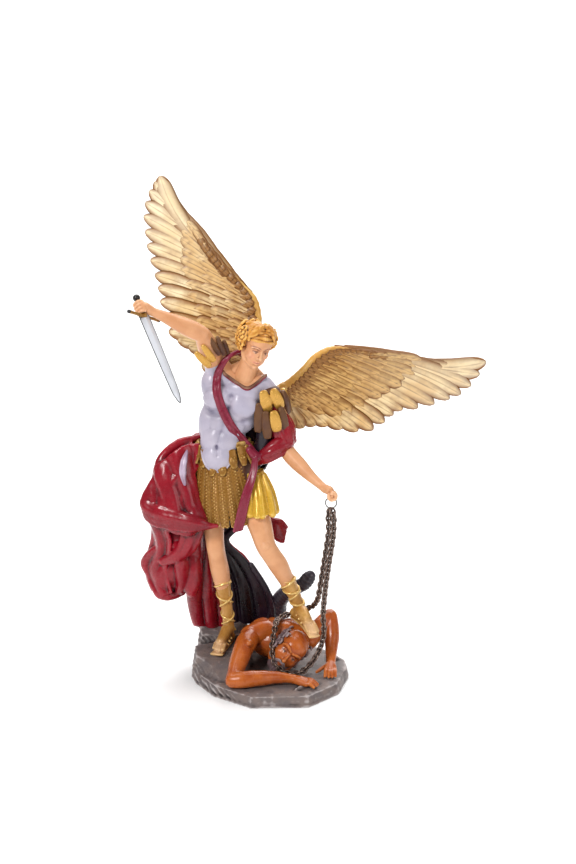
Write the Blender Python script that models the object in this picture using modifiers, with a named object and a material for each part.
"""A painted cast statue of an armoured, winged angel who stands on a fallen demon.

The angel, the demon and their rock are one casting. The two wings plug into its back,
the sword lies through the right fist, and a real chain hangs from a wire ring in the
left fist and runs round the demon's neck. Left and right are the angel's own.
+X is the angel's left, -Y is the front, +Z is up, and the origin is on the underside.
"""

import math

import bmesh
import bpy
from mathutils import Matrix, Vector

# Driving sizes, in metres
STATUE_HEIGHT = 0.360  # underside of the rock to the tip of the raised wing
BASE_WIDTH = 0.115
BASE_DEPTH = 0.110
RIM_HEIGHT = 0.009  # the rock's lowest edge, at the front
CLOTH_THICKNESS = 0.0036
BLADE_LENGTH = 0.071
BLADE_WIDTH = 0.0076
BLADE_THICKNESS = 0.0018
BLADE_ROOT = 0.02  # the share of the blade that is hidden in the guard
BLADE_TWIST = 28  # degrees that the blade's flat is turned from the guard, as it was cast
GUARD_LENGTH = 0.034
GUARD_RADIUS = 0.0015
GRIP_LENGTH = 0.0125
GRIP_RADIUS = 0.0016
POMMEL_RADIUS = 0.0026
RING_RADIUS = 0.0040
RING_WIRE = 0.00045  # half the ring wire's thickness
LINK_LENGTH = 0.0090
LINK_WIDTH = 0.0042
LINK_WIRE = 0.00065  # half the link wire's thickness
FEATHER_THICKNESS = 0.0022
PEG_RADIUS = 0.0042
PEG_LENGTH = 0.0065
GAP = 0.0003  # clearance between pieces that fit together

# How finely the castings are made
FIGURE_VOXEL = 0.0010
WING_VOXEL = 0.0008
FIGURE_TRIANGLES = 4500
WING_TRIANGLES = 860

# One unit of the pose is a share of the statue's height, about a millimetre. Heights
# in the pose count from the underside of a rock whose rim is POSE_RIM units high.
UNIT = STATUE_HEIGHT / 360
POSE_RIM = 9.0

# The sword's place in the right fist, in pose units
GUARD_CENTRE = (-84.6, -12.0, 266.3)
BLADE_AIM = (0.378, -0.550, -0.745)
GUARD_AIM = (0.547, 0.777, -0.308)
# The ring hangs in the left fist
RING_CENTRE = (43.7, -12.0, 134.6)
# Where each wing's peg enters the back
RIGHT_PEG = (-24.0, 33.0, 212.0)
LEFT_PEG = (-6.0, 33.0, 203.0)


def at(point):
    """A point of the pose as a place in the model, in metres."""
    x, y, z = point
    return Vector((x * UNIT, y * UNIT, RIM_HEIGHT + (z - POSE_RIM) * UNIT))


def spline(points, steps):
    """A smooth run through points of any dimension, with this many steps between two."""
    run = []
    last = len(points) - 1
    for i in range(last):
        p = [points[max(0, min(last, i + k))] for k in (-1, 0, 1, 2)]
        for s in range(steps):
            t = s / steps
            run.append(tuple(
                0.5 * (2 * b + (c - a) * t + (2 * a - 5 * b + 4 * c - d) * t * t
                       + (3 * b - a - 3 * c + d) * t ** 3)
                for a, b, c, d in zip(*p)))
    run.append(tuple(points[last]))
    return run


def facing(direction):
    """The rotation that turns +Z to a direction."""
    return Vector((0, 0, 1)).rotation_difference(Vector(direction)).to_matrix().to_4x4()


def unit_ball(around=20, rows=12):
    """Corners and faces of a ball of radius one."""
    corners = [(0.0, 0.0, 1.0)]
    for row in range(1, rows):
        polar = math.pi * row / rows
        for k in range(around):
            angle = 2 * math.pi * k / around
            corners.append((math.sin(polar) * math.cos(angle), math.sin(polar) * math.sin(angle),
                            math.cos(polar)))
    corners.append((0.0, 0.0, -1.0))
    faces = []
    last = len(corners) - 1
    for k in range(around):
        n = (k + 1) % around
        faces.append((0, 1 + k, 1 + n))
        faces.append((last, 1 + (rows - 2) * around + n, 1 + (rows - 2) * around + k))
        for row in range(rows - 2):
            here = 1 + row * around
            faces.append((here + k, here + around + k, here + around + n, here + n))
    return corners, faces


def unit_rod(start, end, around=14):
    """Corners and faces of a rod from z = -0.5 to 0.5, with a radius at each end."""
    corners = []
    for z, radius in ((-0.5, start), (0.5, end)):
        for k in range(around):
            angle = 2 * math.pi * k / around
            corners.append((radius * math.cos(angle), radius * math.sin(angle), z))
    faces = [tuple(reversed(range(around))), tuple(range(around, 2 * around))]
    for k in range(around):
        n = (k + 1) % around
        faces.append((k, n, around + n, around + k))
    return corners, faces


BALL = unit_ball()


class Clay:
    """Overlapping simple solids that are then cast as one."""

    def __init__(self):
        self.corners = []
        self.faces = []

    def add(self, corners, faces, place=Matrix.Identity(4)):
        start = len(self.corners)
        self.corners.extend(place @ Vector(corner) for corner in corners)
        self.faces.extend(tuple(start + k for k in face) for face in faces)

    def add_mesh(self, mesh):
        self.add([v.co for v in mesh.vertices], [tuple(f.vertices) for f in mesh.polygons])

    def ball(self, centre, radius):
        self.blob(centre, (radius, radius, radius))

    def blob(self, centre, size, turn=(0, 0, 0)):
        """An ellipsoid of these half-sizes, turned by degrees about X, Y and Z."""
        x, y, z = (math.radians(angle) for angle in turn)
        rotation = Matrix.Rotation(z, 4, "Z") @ Matrix.Rotation(y, 4, "Y") @ Matrix.Rotation(x, 4, "X")
        scale = Matrix.Diagonal([s * UNIT for s in size]).to_4x4()
        self.add(*BALL, Matrix.Translation(at(centre)) @ rotation @ scale)

    def limb(self, run):
        """Tapered rods with round joints through (x, y, z, radius) stations."""
        for i, (x, y, z, radius) in enumerate(run):
            self.ball((x, y, z), radius)
            if i == 0:
                continue
            before = run[i - 1]
            a, b = at(before[:3]), at((x, y, z))
            length = (b - a).length
            if length < 1e-6:
                continue
            place = Matrix.Translation((a + b) / 2) @ facing(b - a) @ Matrix.Diagonal((1, 1, length, 1))
            self.add(*unit_rod(before[3] * UNIT, radius * UNIT), place)

    def tube(self, stations, steps=4):
        self.limb(spline(stations, steps))

    def strap(self, stations, across, half_width, steps=3):
        """A flat band: three parallel rods side by side, across a direction."""
        side = Vector(across).normalized() * half_width
        for shift in (-0.6, 0, 0.6):
            self.tube([(x + side.x * shift, y + side.y * shift, z + side.z * shift, r)
                       for x, y, z, r in stations], steps)

    def hull(self, points):
        """A faceted lump of rock: the convex hull of its corners."""
        lump = bmesh.new()
        bmesh.ops.convex_hull(lump, input=[lump.verts.new(p) for p in points])
        mesh = bpy.data.meshes.new("lump")
        lump.to_mesh(mesh)
        lump.free()
        self.add_mesh(mesh)
        bpy.data.meshes.remove(mesh)

    def loft(self, sections):
        """A closed skin over rings of points that hold the same number each."""
        count = len(sections[0])
        faces = [tuple(reversed(range(count))), tuple(range((len(sections) - 1) * count, len(sections) * count))]
        for row in range(len(sections) - 1):
            here = row * count
            for k in range(count):
                n = (k + 1) % count
                faces.append((here + k, here + n, here + count + n, here + count + k))
        self.add([p for ring in sections for p in ring], faces)

    def cloth(self, rails, thickness, down=5, between=4):
        """A thick sheet through rails, each a run of pose points from its top down."""
        runs = [spline(rail, down) for rail in rails]
        rows = [spline(row, between) for row in zip(*runs)]
        sheet = bmesh.new()
        grid = [[sheet.verts.new(at(p)) for p in row] for row in rows]
        for upper, lower in zip(grid, grid[1:]):
            for k in range(len(upper) - 1):
                sheet.faces.new((upper[k], upper[k + 1], lower[k + 1], lower[k]))
        obj = new_object("cloth_sheet", sheet, helpers)
        shell = obj.modifiers.new("Thickness", "SOLIDIFY")
        shell.thickness = thickness
        shell.offset = 0
        baked = evaluated_mesh(obj)
        self.add_mesh(baked)
        bpy.data.meshes.remove(baked)
        bpy.data.objects.remove(obj)

    def solid(self, name, collection):
        """The clay as an object, not yet joined."""
        mesh = bpy.data.meshes.new(name)
        mesh.from_pydata(self.corners, [], self.faces)
        obj = bpy.data.objects.new(name, mesh)
        collection.objects.link(obj)
        return obj

    def cast(self, name, voxel, triangles, smoothing):
        """One solid of the joined clay, with about this many triangles."""
        obj = self.solid(name, statue)
        remesh = obj.modifiers.new("Cast", "REMESH")
        remesh.mode = "VOXEL"
        remesh.voxel_size = voxel
        smooth = obj.modifiers.new("Smooth", "SMOOTH")
        smooth.factor = 0.5
        smooth.iterations = smoothing
        fine = evaluated_mesh(obj)
        fine.calc_loop_triangles()
        reduce = obj.modifiers.new("Reduce", "DECIMATE")
        reduce.ratio = min(1.0, triangles / len(fine.loop_triangles))
        reduce.use_collapse_triangulate = True
        bpy.data.meshes.remove(fine)
        bake(obj)
        return obj


def bake(obj):
    """The object's modifiers worked into its mesh."""
    before = obj.data
    obj.data = largest_shell(evaluated_mesh(obj))
    obj.modifiers.clear()
    bpy.data.meshes.remove(before)
    obj.data.name = obj.name


def largest_shell(mesh):
    """The mesh without the specks that thinning or joining it leaves behind."""
    bm = bmesh.new()
    bm.from_mesh(mesh)
    left = set(bm.verts)
    shells = []
    while left:
        shell = {left.pop()}
        edge = set(shell)
        while edge:
            edge = {e.other_vert(v) for v in edge for e in v.link_edges} - shell
            shell |= edge
        left -= shell
        shells.append(shell)
    keep = max(shells, key=len)
    bmesh.ops.delete(bm, geom=[v for v in bm.verts if v not in keep], context="VERTS")
    bm.to_mesh(mesh)
    bm.free()
    return mesh


def new_object(name, bm, collection):
    mesh = bpy.data.meshes.new(name)
    bm.to_mesh(mesh)
    bm.free()
    obj = bpy.data.objects.new(name, mesh)
    collection.objects.link(obj)
    return obj


def evaluated_mesh(obj):
    bpy.context.view_layer.update()
    graph = bpy.context.evaluated_depsgraph_get()
    return bpy.data.meshes.new_from_object(obj.evaluated_get(graph))


def new_collection(name):
    made = bpy.data.collections.new(name)
    bpy.context.scene.collection.children.link(made)
    return made


def cut(obj, cutter):
    """Takes a helper's shape out of a piece."""
    cutter.hide_render = True
    cutter.display_type = "WIRE"
    boolean = obj.modifiers.new("Cut " + cutter.name, "BOOLEAN")
    boolean.operation = "DIFFERENCE"
    boolean.object = cutter


def rod_cutter(name, a, b, radius, corners=16):
    """A round hole from a to b, places in metres."""
    bm = bmesh.new()
    place = Matrix.Translation((a + b) / 2) @ facing(b - a)
    bmesh.ops.create_cone(bm, cap_ends=True, segments=corners, radius1=radius, radius2=radius,
                          depth=(b - a).length, matrix=place)
    return new_object(name, bm, helpers)


def add_rock(clay):
    """The rock base: a slab with a broken outline, and two ledges at the back left."""
    outline = [(-0.22, -1.05), (0.49, -1.03), (0.86, -0.60), (1.0, -0.05), (0.98, 0.22),
               (0.84, 0.50), (0.50, 0.86), (0.05, 0.98), (-0.45, 1.0), (-0.84, 0.86),
               (-1.0, 0.50), (-1.0, 0.02), (-0.92, -0.25), (-0.68, -0.68)]
    half_width, half_depth = BASE_WIDTH / 2, BASE_DEPTH / 2

    def ring(share, z):
        return [(x * half_width * share, y * half_depth * share, z) for x, y in outline]

    below = 0.003
    clay.loft([ring(1.0, -below), ring(1.0, RIM_HEIGHT * 0.45), ring(0.97, RIM_HEIGHT * 0.9),
               ring(0.90, RIM_HEIGHT)])
    front_ledge = [(-1.0, 0.40, 6), (-1.0, -0.10, 5), (-0.90, -0.32, 4), (-0.55, -0.66, 6),
                   (-0.28, -0.55, 8), (-0.20, 0.1, 8), (-0.97, 0.30, 18.5), (-0.93, -0.04, 17.5),
                   (-0.74, -0.26, 15.5), (-0.44, -0.30, 16.5), (-0.32, 0.15, 18), (-0.40, 0.55, 19)]
    back_ledge = [(-0.97, 0.62, 8), (-0.84, 0.84, 8), (-0.40, 0.97, 8), (0.0, 0.95, 8),
                  (-0.05, 0.55, 10), (-0.95, 0.36, 10), (-0.92, 0.58, 27), (-0.80, 0.76, 28),
                  (-0.38, 0.88, 27), (-0.16, 0.70, 20), (-0.40, 0.45, 23), (-0.88, 0.44, 23)]
    for ledge in (front_ledge, back_ledge):
        clay.hull([Vector((x * half_width, y * half_depth, at((0, 0, z)).z)) for x, y, z in ledge])


def add_demon(clay):
    """The fallen demon: prone, chest raised on both arms, head rolled under the foot."""
    clay.blob((3, 11, 26), (19, 17, 14), (8, 0, 0))
    clay.blob((-1, 28, 24), (14, 15, 12))
    clay.blob((-3, 40, 20), (15, 11, 11))
    clay.tube([(-13, 2, 31, 8.5), (4, 8, 33, 9), (28, 3, 29, 8)])
    clay.tube([(-13, 0, 31, 7.6), (-19, -18, 26, 7.0), (-24, -40, 15, 6.2)])
    clay.tube([(-24, -41, 14.5, 6.4), (-8, -39, 14.5, 5.8), (14, -37, 13.5, 3.8), (22, -39, 12.5, 3.8)])
    clay.blob((27, -41, 12), (6, 5, 3.0), (0, 10, -20))
    for k in range(4):
        clay.limb([(29, -37.5 - 2.3 * k, 11.5, 1.6), (34.5 - 0.8 * k, -40.5 - 2.3 * k, 10.2, 1.4)])
    clay.tube([(29, 1, 28, 7.5), (38, 10, 35, 6.6), (44.5, 14, 41, 5.6)])
    clay.tube([(44.5, 14, 40.5, 5.4), (45.5, 7, 31, 5.2), (44.8, -5, 18, 3.8), (44, -12, 13.5, 3.8)])
    clay.blob((43.5, -18, 11.5), (5, 6.5, 3.0))
    for k in range(4):
        clay.limb([(40.2 + 2.2 * k, -20, 11.4, 1.5), (39.5 + 2.6 * k, -26, 10.2, 1.4)])
    clay.tube([(8, 4, 31, 8), (14, -6, 29, 7)])
    # the head lies rolled, so that its crown points up and to the left
    roll = (0, 47, 0)
    clay.blob((19.5, -8.5, 29.5), (11.0, 12.5, 12.5), roll)
    clay.blob((13.5, -15.5, 24.0), (8.2, 8.0, 10.0), roll)
    clay.blob((8.8, -18.8, 20.0), (7.2, 6.5, 6.5), roll)
    clay.blob((16.4, -20.4, 26.6), (2.8, 3.0, 4.6), roll)
    clay.tube([(12, 0, 39, 3), (20, 2, 42, 3.2), (28, 0, 39, 3)])
    # the legs lie folded on the rock behind
    for side, knee in ((-1, (-24, 38, 15)), (1, (24, 36, 14))):
        clay.tube([(-3 + 7 * side, 40, 19, 8.5), (*knee, 6.5)])
        clay.tube([(*knee, 6.2), (-3 + 12 * side, 46, 13, 4.6), (-3 + 5 * side, 47, 12, 3.5)])
    # the dark tail curls up behind the angel's left foot
    clay.tube([(2, 44, 20, 7.3), (5, 44, 32, 7.0), (6.5, 42.5, 42, 6.3), (11, 38.5, 50, 5.6),
               (18.5, 34.5, 56, 5.0), (25, 32, 60, 4.6)])
    clay.blob((27.5, 31, 62.5), (6.4, 2.8, 8.0), (0, 25, 0))


def add_legs(clay):
    clay.tube([(-41, 19, 142, 10.5), (-40.5, 14, 112, 7.8), (-38.6, 11, 93, 6.4),
               (-36, 14.5, 79, 6.5), (-33.5, 17, 62, 4.9), (-31, 18, 44, 3.7), (-30.5, 18.5, 33, 3.9)])
    clay.tube([(-30.4, 23, 23.5, 4.4), (-33, 13, 25, 4.7), (-36.2, 4.5, 22.6, 4.0), (-38.0, -1.0, 21.6, 2.8)])
    clay.tube([(-17, 16, 142, 11), (-7.5, 3, 119, 8.8), (-2.5, -3, 102, 7.8), (6, -4, 89, 6.6),
               (12.5, -1, 75, 5.6), (18, 2, 63, 4.3), (22, 3, 53, 3.9)])
    clay.tube([(19.5, 6, 47.5, 4.2), (25.5, -4, 47.5, 4.4), (29.3, -12.0, 44.0, 3.9), (31.6, -17.5, 40.6, 2.8)])


def add_torso(clay):
    clay.blob((-30, 20, 147), (20, 13.5, 15))
    clay.blob((-32.5, 17, 170), (17.3, 12.2, 20), (0, 6, 0))
    clay.blob((-36, 12.5, 161), (12.0, 9.0, 11.0))
    clay.blob((-27, 17, 195), (20.3, 13.8, 19.5), (0, 20, 0))
    clay.blob((-36.5, 10, 205), (9.5, 7.0, 8.0), (0, 22, 0))
    clay.blob((-18.5, 9.5, 199), (10.5, 7.2, 8.2), (0, 22, 0))
    clay.tube([(-35, 22, 221, 8.0), (-19, 19, 215, 9.2), (1, 18, 205, 8.0)])
    clay.tube([(-18, 17, 215, 7.0), (-14, 12.5, 225, 5.8), (-10, 9, 234, 6.2)])


def add_arms(clay):
    clay.tube([(-35, 22, 221, 8.2), (-41, 10, 239, 7.2), (-45, -1, 251.5, 6.4)])
    clay.tube([(-46, -2, 252, 6.3), (-55, -4, 257, 6.0), (-67, -6, 263, 4.3), (-78, -8, 268, 3.3),
               (-84, -9, 271, 3.8)])
    clay.blob((-87.2, -9.0, 272.3), (5.2, 5.4, 5.2))
    clay.tube([(1, 18, 205, 8.2), (8, 16, 185, 7.2), (12, 14, 166, 5.6)])
    clay.tube([(12, 14, 166, 5.4), (20, 9, 158, 5.2), (30, 2, 149.5, 3.9), (37.5, -4, 144, 3.2),
               (41, -8, 142, 3.6)])
    clay.blob((44.2, -11.5, 140.2), (5.6, 5.6, 4.6), (0, 25, 0))


def add_head(clay):
    """The head, turned to the angel's left and bowed, under a cap of waved hair."""
    bowed = (24, 12, 22)
    clay.blob((-6.6, 4.4, 246.8), (10.0, 11.5, 11.0), bowed)
    clay.blob((-5.9, 1.2, 239.8), (8.4, 7.8, 11.4), bowed)
    clay.blob((-5.8, 0.0, 230.6), (4.4, 4.2, 4.2))
    clay.blob((-3.4, -5.6, 237.4), (1.7, 2.2, 3.4), bowed)
    clay.blob((-6.8, 6.4, 248.4), (12.6, 13.0, 11.0), bowed)
    # locks frame the brow and fall to the nape, given as (across, back, up) from the brow's middle
    locks = [(-9.5, 1.5, -2), (-5.5, -0.5, 1.5), (0, -1.0, 3), (5.5, 0, 2.5), (9.5, 3, 0), (11.5, 8, -5),
             (11, 13.5, -10.5), (-12, 6, -5.5), (-13, 12, -9), (-11.5, 18, -13), (-6, 22, -15.5),
             (1, 22.5, -16.5), (7, 19, -14.5)]
    for across, back, up in locks:
        clay.blob((-5.5 + across, -3.0 + back, 252.0 + up + 0.14 * across), (4.2, 4.0, 4.6))


def add_skirt(clay):
    """The war skirt: an oval bell, with straps standing off its front and sides."""
    def ring(centre, half_x, half_y, tilt):
        count = 28
        points = []
        for k in range(count):
            angle = 2 * math.pi * k / count
            x = half_x * math.cos(angle)
            points.append(at((centre[0] + x, centre[1] + half_y * math.sin(angle), centre[2] + tilt * x)))
        return points

    clay.loft([ring((-25, 16, 121), 27.5, 18.0, 0.10), ring((-26, 16, 124), 27.0, 17.5, 0.10),
               ring((-29, 18, 146), 24.0, 15.5, 0.06), ring((-32, 18, 170), 18.5, 13.0, 0.0)])
    # straps that fan from the belt, longest in the middle of the front
    for k in range(7):
        share = k / 6
        angle = math.radians(200 + 95 * share)
        top = (-31 + 20.5 * math.cos(angle), 17.5 + 14.5 * math.sin(angle), 158 - 6 * math.sin(math.pi * share))
        foot = (-28 + 26.5 * math.cos(angle), 16.5 + 18.5 * math.sin(angle), 122 - 7 * math.sin(math.pi * share))
        clay.strap([(*top, 1.5), (*foot, 1.7)], (-math.sin(angle), math.cos(angle), 0), 3.4, 2)
    # the short tunic puffs out over the left thigh
    clay.tube([(-13, 4, 128, 6.6), (-6, 3, 127, 6.6), (-2.5, 11, 128, 5.6)])
    clay.tube([(-8, 6, 140, 7), (-5, 4, 124, 6.2)])


def add_armour_trim(clay):
    """Shoulder straps of the cuirass, and the sash from the right shoulder."""
    for centre, turn in (((-2.0, 7, 203), -14), ((5.5, 9, 203), -24), ((3.0, 6, 188), -8), ((-6, 10, 190), 4)):
        clay.blob(centre, (3.0, 3.4, 8.6), (12, turn, 0))
    clay.blob((0, 16, 206), (9.5, 9.5, 9))
    # on the raised shoulder they stand along the upper arm
    for centre in ((-30.0, 8.5, 241), (-34.0, 5.0, 245), (-38.5, 2.0, 245.5), (-43.5, 2.0, 243), (-47.5, 5.5, 239.5)):
        clay.blob(centre, (3.0, 2.8, 8.0), (28, -22, 0))
    sash = [(-21, 21, 228, 2.4), (-31, 11, 228, 2.4), (-37, 5, 218, 2.4), (-35, 2.5, 204, 2.2),
            (-29, 1.8, 190, 2.2), (-21, 3.5, 176, 2.2), (-12, 7, 165, 2.6)]
    clay.strap(sash, (0.8, 0, 0.5), 2.2)
    strip = [(-9, 7, 164, 2.4), (-11, 0, 152, 2.4), (-15, -3, 140, 2.4), (-18, -3.5, 126, 2.4),
             (-21.5, -1.5, 113, 2.0)]
    clay.strap(strip, (1, 0.2, 0.2), 3.0)


def add_cloak(clay):
    """The cloak: a broad fall behind, a billow at the right hip and a swag to its front."""
    inner = [(-4, 30, 178), (-8, 36, 147), (-14, 38, 124), (-23, 40, 102), (-31, 41, 90),
             (-16, 42, 73), (-4, 43, 53), (3, 44, 24)]
    back = [(-22, 31, 182), (-26, 40, 150), (-29, 44, 124), (-34, 45, 102), (-39, 46, 90),
            (-30, 48, 73), (-22, 49, 53), (-18, 48, 24)]
    middle = [(-40, 30, 180), (-48, 40, 152), (-52, 45, 126), (-52, 47, 104), (-51, 48, 88),
              (-46, 50, 72), (-43, 49, 50), (-40, 46, 24)]
    outer = [(-52, 26, 175), (-68, 32, 160), (-76, 36, 132), (-75, 39, 106), (-70, 41, 86),
             (-63, 42, 70), (-60, 41, 50), (-55, 41, 26)]
    clay.cloth([inner, back, middle, outer], CLOTH_THICKNESS)
    # the billow blows out from behind the hip and turns back on itself
    seam = [(-50, 28, 175), (-66, 30, 160), (-70, 32, 132), (-68, 36, 98), (-64, 38, 78), (-62, 38, 58)]
    blown = [(-54, 24, 174), (-78, 20, 158), (-80, 20, 134), (-84, 24, 98), (-89, 28, 78), (-84, 28, 58)]
    crest = [(-55, 16, 170), (-77, 10, 152), (-88, 8, 128), (-80, 12, 98), (-86, 20, 76), (-80, 18, 56)]
    lip = [(-53, 12, 162), (-66, 6, 146), (-74, 0, 126), (-70, 6, 100), (-74, 14, 78), (-70, 12, 60)]
    clay.cloth([seam, blown, crest, lip], CLOTH_THICKNESS)
    clay.tube([(-50, 27, 173, 3.5), (-66, 22, 168, 4.0), (-77, 14, 157, 4.2), (-75, 8, 145, 4), (-84, 8, 133, 4.5),
               (-87, 10, 122, 5)])
    clay.tube([(-87, 8, 127, 4.5), (-72, 1, 122, 5.5), (-55, -4, 119, 5.2), (-41, -4.5, 116, 2.4)])
    clay.tube([(-76, 10, 114, 5), (-64, 4, 112, 5), (-50, 2, 114, 4)])
    clay.tube([(-62, 8, 112, 5.5), (-60, 6, 98, 5.5), (-66, 7, 90, 5), (-76, 14, 84, 4.5)])
    clay.tube([(-86, 22, 84, 4), (-89, 24, 76, 4.5), (-84, 20, 64, 5), (-78, 18, 58, 5), (-68, 24, 58, 5)])
    # gathered cloth hangs from the left forearm and crosses behind the waist
    clay.tube([(12, 24, 184, 6), (13, 19, 176, 7.5), (9, 14, 170, 7.5), (-1, 13, 166, 6.5), (-7, 17, 156, 5.5)])
    clay.cloth([[(10, 25, 186), (8, 26, 172), (-4, 27, 150)], [(-6, 30, 190), (-6, 32, 170), (-8, 34, 146)],
                [(-22, 31, 188), (-22, 33, 170), (-24, 38, 146)]], CLOTH_THICKNESS)
    # the cloak's free corner shows past the left thigh
    clay.cloth([[(-14, 36, 128), (2, 32, 112), (9, 28, 110), (13, 28, 104)],
                [(-14, 38, 110), (0, 34, 98), (6, 30, 93), (11, 29, 93)]], CLOTH_THICKNESS)


def feather(clay, base, tip, bow, width, thickness, lift):
    """A flat tapered vane from base to tip, bowed to one side, lifted off the wing's face."""
    base, tip = Vector(base), Vector(tip)
    along = tip - base
    side = Vector((-along.z, 0, along.x)).normalized()
    middle = base + along * 0.5 + side * bow
    rings = []
    for t in (0.0, 0.25, 0.5, 0.75, 0.9, 0.97, 1.0):
        centre = base * (1 - t) ** 2 + middle * (2 * t * (1 - t)) + tip * t ** 2
        heading = ((middle - base) * (1 - t) + (tip - middle) * t).normalized()
        left = Vector((-heading.z, 0, heading.x))
        half = width / 2 * (0.6 + 0.4 * min(1, t / 0.5)) * math.sqrt(max(0.03, 1 - max(0, (t - 0.7) / 0.3) ** 2.6))
        deep = thickness / 2 * (1 - 0.45 * t)
        y = Vector((0, lift * (1 - 0.4 * t), 0))
        rings.append([at(centre + y + left * half), at(centre + y + Vector((0, deep, 0))),
                      at(centre + y - left * half), at(centre + y - Vector((0, deep, 0)))])
    clay.loft(rings)


def make_wing(name, peg, edge, tips, mirror):
    """One wing: a thick leading edge, flight feathers and rows of coverts on both faces."""
    clay = Clay()
    thick = FEATHER_THICKNESS / UNIT
    edge_run = spline(edge, 8)
    tips_run = spline(tips, 8)

    def along(run, share):
        return Vector(run[min(len(run) - 1, round(share * (len(run) - 1)))])

    stations = [along(edge_run, k / 16) for k in range(17)]
    clay.limb([(p.x, p.y, p.z, 4.4 - 3.3 * (k / 16)) for k, p in enumerate(stations)])

    def rooted(share):
        """Where on the edge a feather starts: the outer ones sweep far along the wing."""
        return along(edge_run, 0.04 + 0.56 * (1 - share) ** 1.3)

    count = 18
    for k in range(count):
        share = k / (count - 1)
        base = rooted(share)
        tip = along(tips_run, share)
        reach = (tip - base).length
        # the outermost feathers bend in, along the leading edge
        bow = mirror * reach * (0.13 - 0.10 * share - 0.27 * max(0, 1 - share / 0.13))
        feather(clay, base, tip, bow, 12.5 - 1.0 * share, thick, 0.35 * (-1) ** k)
    # coverts: two rows on each face, the second shorter and further out
    for cover, amount, wide, lift in ((0.56, 12, 12.0, 1.2), (0.36, 11, 11.0, 2.2)):
        for k in range(amount):
            share = (k + 0.5) / amount
            base = rooted(share)
            tip = base.lerp(along(tips_run, share), cover * (0.75 + 0.25 * math.sin(math.pi * share)))
            for face in (-1, 1):
                feather(clay, base, tip, 0, wide, thick, face * lift)
    root = along(edge_run, 0)
    clay.tube([(*peg, 5.6), (root.x, root.y + 2, root.z, 5.6), (*along(edge_run, 0.12), 5.0)])
    inner = along(tips_run, 1).lerp(root, 0.45)
    clay.tube([(root.x, root.y + 1, root.z, 4), (*inner, 3)])
    wing = clay.cast(name, WING_VOXEL, WING_TRIANGLES, 1)
    return wing


def add_peg(wing, peg):
    """A round peg from the wing's root forward into the back, joined to the cast wing."""
    start = at(peg)
    end = start + Vector((0, -PEG_LENGTH, 0))
    bm = bmesh.new()
    place = Matrix.Translation((start + end) / 2) @ facing(end - start)
    bmesh.ops.create_cone(bm, cap_ends=True, segments=12, radius1=PEG_RADIUS, radius2=PEG_RADIUS,
                          depth=PEG_LENGTH, matrix=place)
    plug = new_object(wing.name + "_peg", bm, helpers)
    plug.hide_render = True
    join = wing.modifiers.new("Peg", "BOOLEAN")
    join.operation = "UNION"
    join.object = plug


def make_wings():
    right_edge = [(-20, 37, 221), (-10, 41, 245), (-11, 44, 267), (-20, 46, 279), (-35, 48, 294),
                  (-48, 50, 310), (-61, 53, 330), (-70, 56, 346), (-76.5, 58, 357.5)]
    right_tips = [(-78, 58, 358), (-83, 58, 352), (-88, 57, 342), (-90, 56, 330), (-89, 55, 316),
                  (-87, 54, 303), (-83, 52, 289), (-80, 50, 277), (-78, 48, 264), (-74, 46, 249),
                  (-66, 45, 241), (-56, 43, 235), (-50, 41, 225), (-47, 39, 214)]
    left_edge = [(4, 37, 202), (15, 38, 209), (26, 40, 219), (34, 42, 228), (45, 44, 233.5),
                 (58, 46, 233), (75, 48, 229.5), (95, 50, 223.5), (117, 52, 221.5), (139, 54, 223),
                 (157, 56, 227)]
    left_tips = [(159, 56, 223), (152, 55, 210), (142, 54, 200), (130, 53, 195), (113, 52, 190),
                 (97, 51, 188), (88, 50, 182), (77, 48, 174), (61, 46, 174), (45, 44, 178),
                 (32, 42, 178), (20, 40, 176), (12, 39, 177)]
    right = make_wing("wing_right", RIGHT_PEG, right_edge, right_tips, -1)
    left = make_wing("wing_left", LEFT_PEG, left_edge, left_tips, 1)
    add_peg(right, RIGHT_PEG)
    add_peg(left, LEFT_PEG)
    return right, left


def make_sword():
    """The sword: a ridged blade, a straight guard, a round grip and a ball pommel."""
    axis = Vector(BLADE_AIM).normalized()
    guard = Vector(GUARD_AIM)
    guard = (guard - axis * guard.dot(axis)).normalized()
    twist = Matrix.Rotation(math.radians(BLADE_TWIST), 3, axis)
    edge = twist @ guard
    flat = axis.cross(edge)
    centre = at(GUARD_CENTRE)
    clay = Clay()
    rings = []
    for share, width in ((-BLADE_ROOT, 0.8), (0.0, 1.0), (0.55, 0.88), (0.86, 0.70), (0.95, 0.42), (1.0, 0.06)):
        middle = centre + axis * (BLADE_LENGTH * share)
        half = BLADE_WIDTH / 2 * width
        deep = BLADE_THICKNESS / 2 * (0.35 + 0.65 * width)
        rings.append([middle + edge * half, middle + flat * deep, middle - edge * half, middle - flat * deep])
    clay.loft(rings)
    blade = clay.solid("sword", statue)
    half = guard * (GUARD_LENGTH / 2)
    for name, a, b, radius in (
            ("sword_guard", centre - half, centre + half, GUARD_RADIUS),
            ("sword_grip", centre + axis * GRIP_RADIUS, centre - axis * (GRIP_LENGTH + POMMEL_RADIUS), GRIP_RADIUS)):
        part = rod_cutter(name, a, b, radius, 7)
        join_to(blade, part)
    bm = bmesh.new()
    place = Matrix.Translation(centre - axis * (GRIP_LENGTH + POMMEL_RADIUS))
    bmesh.ops.create_icosphere(bm, subdivisions=1, radius=POMMEL_RADIUS, matrix=place)
    join_to(blade, new_object("sword_pommel", bm, helpers))
    return blade, axis, guard, centre


def join_to(obj, other):
    other.hide_render = True
    other.display_type = "WIRE"
    boolean = obj.modifiers.new("Join " + other.name, "BOOLEAN")
    boolean.operation = "UNION"
    boolean.object = other


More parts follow.
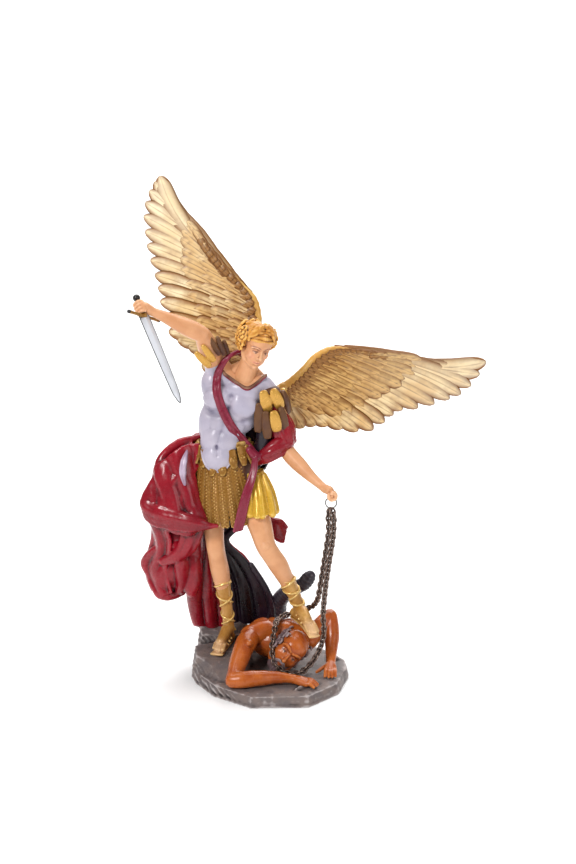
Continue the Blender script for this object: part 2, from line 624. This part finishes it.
def ring_of(centre, long_axis, flat_axis, half_length, half_width, wire, corners, sides, bm):
    """An oval wire ring with few sides, added to a bmesh."""
    normal = long_axis.cross(flat_axis).normalized()
    rings = []
    for k in range(corners):
        angle = 2 * math.pi * (k + 0.5) / corners
        out = long_axis * math.cos(angle) + flat_axis * math.sin(angle)
        reach = 1 / math.cos(math.pi / corners)
        middle = (centre + long_axis * (math.cos(angle) * (half_length - wire) * reach)
                  + flat_axis * (math.sin(angle) * (half_width - wire) * reach))
        rings.append([
            bm.verts.new(middle + out * (wire * 1.25 * math.cos(2 * math.pi * s / sides))
                         + normal * (wire * 1.25 * math.sin(2 * math.pi * s / sides)))
            for s in range(sides)])
    for k in range(corners):
        here, there = rings[k], rings[(k + 1) % corners]
        for s in range(sides):
            n = (s + 1) % sides
            bm.faces.new((here[s], there[s], there[n], here[n]))


def chain_route():
    """The chain's loop, in pose units: down from the ring, round the neck and up again."""
    x, y, z = RING_CENTRE
    drop = RING_RADIUS / UNIT
    down = [(x - 1.7, y + 2.4, z - drop - 3), (42.2, -10.8, 114), (40.6, -10.6, 101), (38.2, -9.2, 84),
            (35.6, -7.2, 66), (34, 1, 57), (30, 9.5, 50)]
    neck = [(21, 14, 45.5), (11.5, 10, 43.5), (6, 1, 43.5), (4.2, -7, 40), (2.8, -13, 34), (2.2, -19.5, 26.5),
            (5, -24, 18), (13, -25, 12.6), (23, -23.5, 13), (31, -19.5, 19.5)]
    up = [(36.5, -17.5, 29), (39, -16, 40), (38.5, -14, 52), (39.5, -13, 66), (41.5, -14, 84), (44, -15, 101),
          (45.5, -15, 114), (x + 1.9, y - 2.2, z - drop - 3)]
    return down + neck + up


def make_chain():
    """Links of round wire, each a quarter turn from the last and touching it."""
    route = [at(p) for p in spline(chain_route(), 24)]
    lengths = [0.0]
    for a, b in zip(route, route[1:]):
        lengths.append(lengths[-1] + (b - a).length)

    def along(distance):
        for i in range(len(lengths) - 2, -1, -1):
            if lengths[i] <= distance:
                span = lengths[i + 1] - lengths[i]
                return route[i].lerp(route[i + 1], min(1, (distance - lengths[i]) / span))
        return route[0]

    bite = 2.9 * LINK_WIRE
    pitch = LINK_LENGTH - bite
    count = int(lengths[-1] // pitch)
    pitch = lengths[-1] / count
    sets = [bmesh.new(), bmesh.new()]
    for k in range(count):
        middle = along((k + 0.5) * pitch)
        heading = (along((k + 1) * pitch) - along(k * pitch)).normalized()
        side = heading.cross(Vector((0.3, 1, 0.2))).normalized()
        turn = Matrix.Rotation(math.radians(45 if k % 2 else -45), 4, heading)
        half_length = (pitch + bite) / 2
        ring_of(middle, heading, turn @ side, half_length, LINK_WIDTH / 2, LINK_WIRE, 6, 3, sets[k % 2])
    chain = new_object("chain", sets[0], statue)
    join_to(chain, new_object("chain_even_links", sets[1], helpers))
    bake(chain)
    return chain


def groove_cutter(name):
    """The room that the chain needs where it lies on the casting."""
    curve = bpy.data.curves.new(name, "CURVE")
    curve.dimensions = "3D"
    curve.bevel_depth = LINK_WIDTH / 2 + 2 * GAP
    curve.bevel_resolution = 1
    curve.use_fill_caps = True
    line = curve.splines.new("POLY")
    points = [at(p) for p in spline(chain_route(), 3)]
    line.points.add(len(points) - 1)
    for target, p in zip(line.points, points):
        target.co = (*p, 1)
    source = bpy.data.objects.new(name + "_line", curve)
    helpers.objects.link(source)
    mesh = evaluated_mesh(source)
    bpy.data.objects.remove(source)
    bm = bmesh.new()
    bm.from_mesh(mesh)
    bmesh.ops.remove_doubles(bm, verts=bm.verts, dist=1e-5)
    return new_object(name, bm, helpers)


def make_hand_ring():
    bm = bmesh.new()
    ring_of(at(RING_CENTRE), Vector((0, 0, 1)), Vector((1, 0, 0)), RING_RADIUS, RING_RADIUS, RING_WIRE, 14, 4, bm)
    return new_object("hand_ring", bm, statue)


def make_figure(sword_axis, guard_axis, sword_centre):
    clay = Clay()
    add_rock(clay)
    add_demon(clay)
    add_legs(clay)
    add_torso(clay)
    add_arms(clay)
    add_head(clay)
    add_skirt(clay)
    add_armour_trim(clay)
    add_cloak(clay)
    figure = clay.cast("figure", FIGURE_VOXEL, FIGURE_TRIANGLES, 2)
    # flat underside
    bm = bmesh.new()
    reach = 3 * max(BASE_WIDTH, BASE_DEPTH)
    bmesh.ops.create_cube(bm, size=1, matrix=Matrix.Translation((0, 0, -reach / 2)) @ Matrix.Scale(reach, 4))
    cut(figure, new_object("below_ground", bm, helpers))
    # the fist is bored for the grip
    cut(figure, rod_cutter("grip_bore", sword_centre + sword_axis * 0.004,
                           sword_centre - sword_axis * (GRIP_LENGTH + 0.004), GRIP_RADIUS + GAP))
    guard_half = guard_axis * (GUARD_LENGTH / 2 + GAP)
    cut(figure, rod_cutter("guard_room", sword_centre - guard_half, sword_centre + guard_half,
                           GUARD_RADIUS + GAP))
    cut(figure, rod_cutter("blade_room", sword_centre - sword_axis * (BLADE_ROOT * BLADE_LENGTH + GAP),
                           sword_centre + sword_axis * BLADE_WIDTH, BLADE_WIDTH / 2 + GAP))
    for name, place in (("right_socket", RIGHT_PEG), ("left_socket", LEFT_PEG)):
        start = at(place)
        cut(figure, rod_cutter(name, start + Vector((0, 0.012, 0)),
                               start - Vector((0, PEG_LENGTH + GAP, 0)), PEG_RADIUS + GAP))
    # the ring's wire passes through the left fist
    bm = bmesh.new()
    room = RING_WIRE + 1.5 * GAP
    ring_of(at(RING_CENTRE), Vector((0, 0, 1)), Vector((1, 0, 0)), RING_RADIUS + 1.5 * GAP, RING_RADIUS + 1.5 * GAP,
            room, 14, 6, bm)
    cut(figure, new_object("ring_channel", bm, helpers))
    cut(figure, groove_cutter("chain_groove"))
    return figure


def paint(obj, colour, roughness, metallic=0.0):
    material = bpy.data.materials.new(obj.name + "_finish")
    material.use_nodes = True
    shader = material.node_tree.nodes["Principled BSDF"]
    shader.inputs["Base Color"].default_value = (*colour, 1)
    shader.inputs["Roughness"].default_value = roughness
    shader.inputs["Metallic"].default_value = metallic
    obj.data.materials.append(material)


for old in list(bpy.data.objects):
    bpy.data.objects.remove(old)
statue = new_collection("archangel_statue")
helpers = new_collection("helpers")

sword, aim, guard, hilt = make_sword()
figure = make_figure(aim, guard, hilt)
wings = make_wings()
chain = make_chain()
ring = make_hand_ring()

paint(figure, (0.42, 0.12, 0.10), 0.35)
for wing in wings:
    paint(wing, (0.78, 0.62, 0.34), 0.5)
paint(sword, (0.72, 0.72, 0.74), 0.25, 1.0)
paint(chain, (0.12, 0.09, 0.08), 0.4, 1.0)
paint(ring, (0.75, 0.75, 0.75), 0.3, 1.0)
